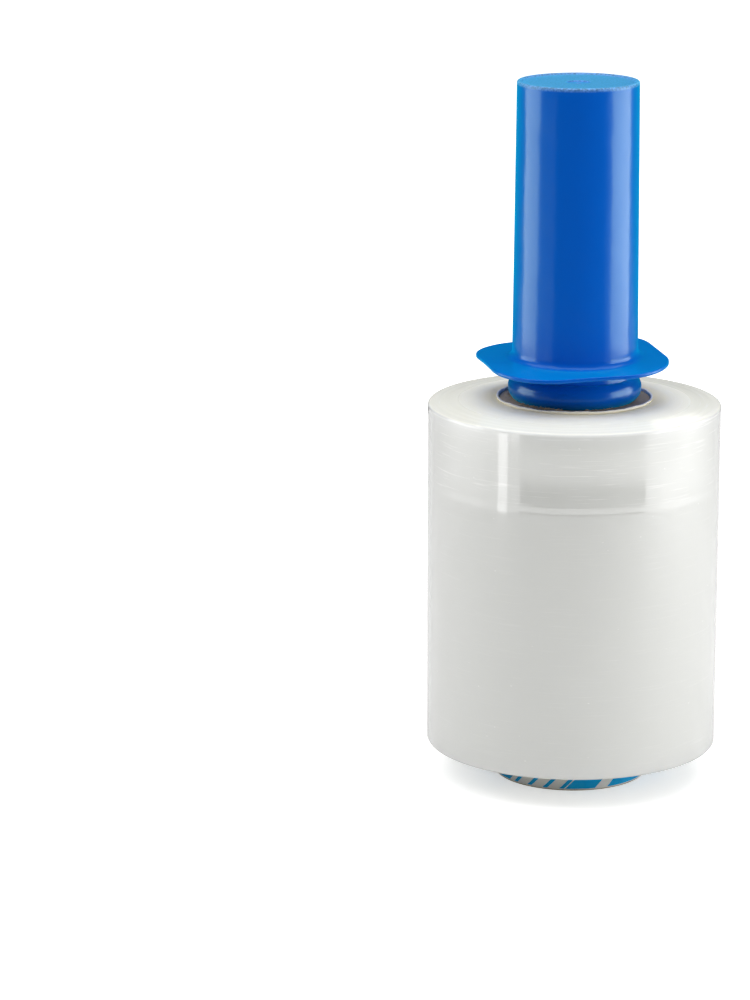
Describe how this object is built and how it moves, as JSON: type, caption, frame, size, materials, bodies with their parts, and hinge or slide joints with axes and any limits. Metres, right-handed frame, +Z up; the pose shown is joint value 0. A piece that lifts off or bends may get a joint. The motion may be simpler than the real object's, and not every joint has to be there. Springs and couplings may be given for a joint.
{
  "type": "hand stretch wrap roll",
  "caption": "Narrow roll of clear stretch film on a paperboard core, standing on end, with a plug-in moulded grip that turns in the core.",
  "frame": {"origin": "centre of the core's lower end, on the roll's axis, where the roll stands", "axes": "+Z up along the roll's axis, from the core's foot towards the grip; +X and +Y are square to it, with no face of their own on the round roll"},
  "size_m": [0.107, 0.107, 0.2573],
  "materials": {
    "stretch_film": "gloss, milky white where many clear turns lie together",
    "paperboard": "matt, sawn at the ends",
    "printed_paper": "satin, blue print on white",
    "blue_plastic": "satin, moulded"
  },
  "bodies": {
    "roll": {"film_roll": "stretch_film", "core_tube": "paperboard", "printed_ply": "printed_paper"},
    "handle": {"handle": "blue_plastic"}
  },
  "joints": [
    {"name": "handle_spin", "type": "hinge", "parent": "roll", "child": "handle", "pos_m": [0, 0, 0.1], "axis": [0, 0, 1], "continuous": true}
  ]
}
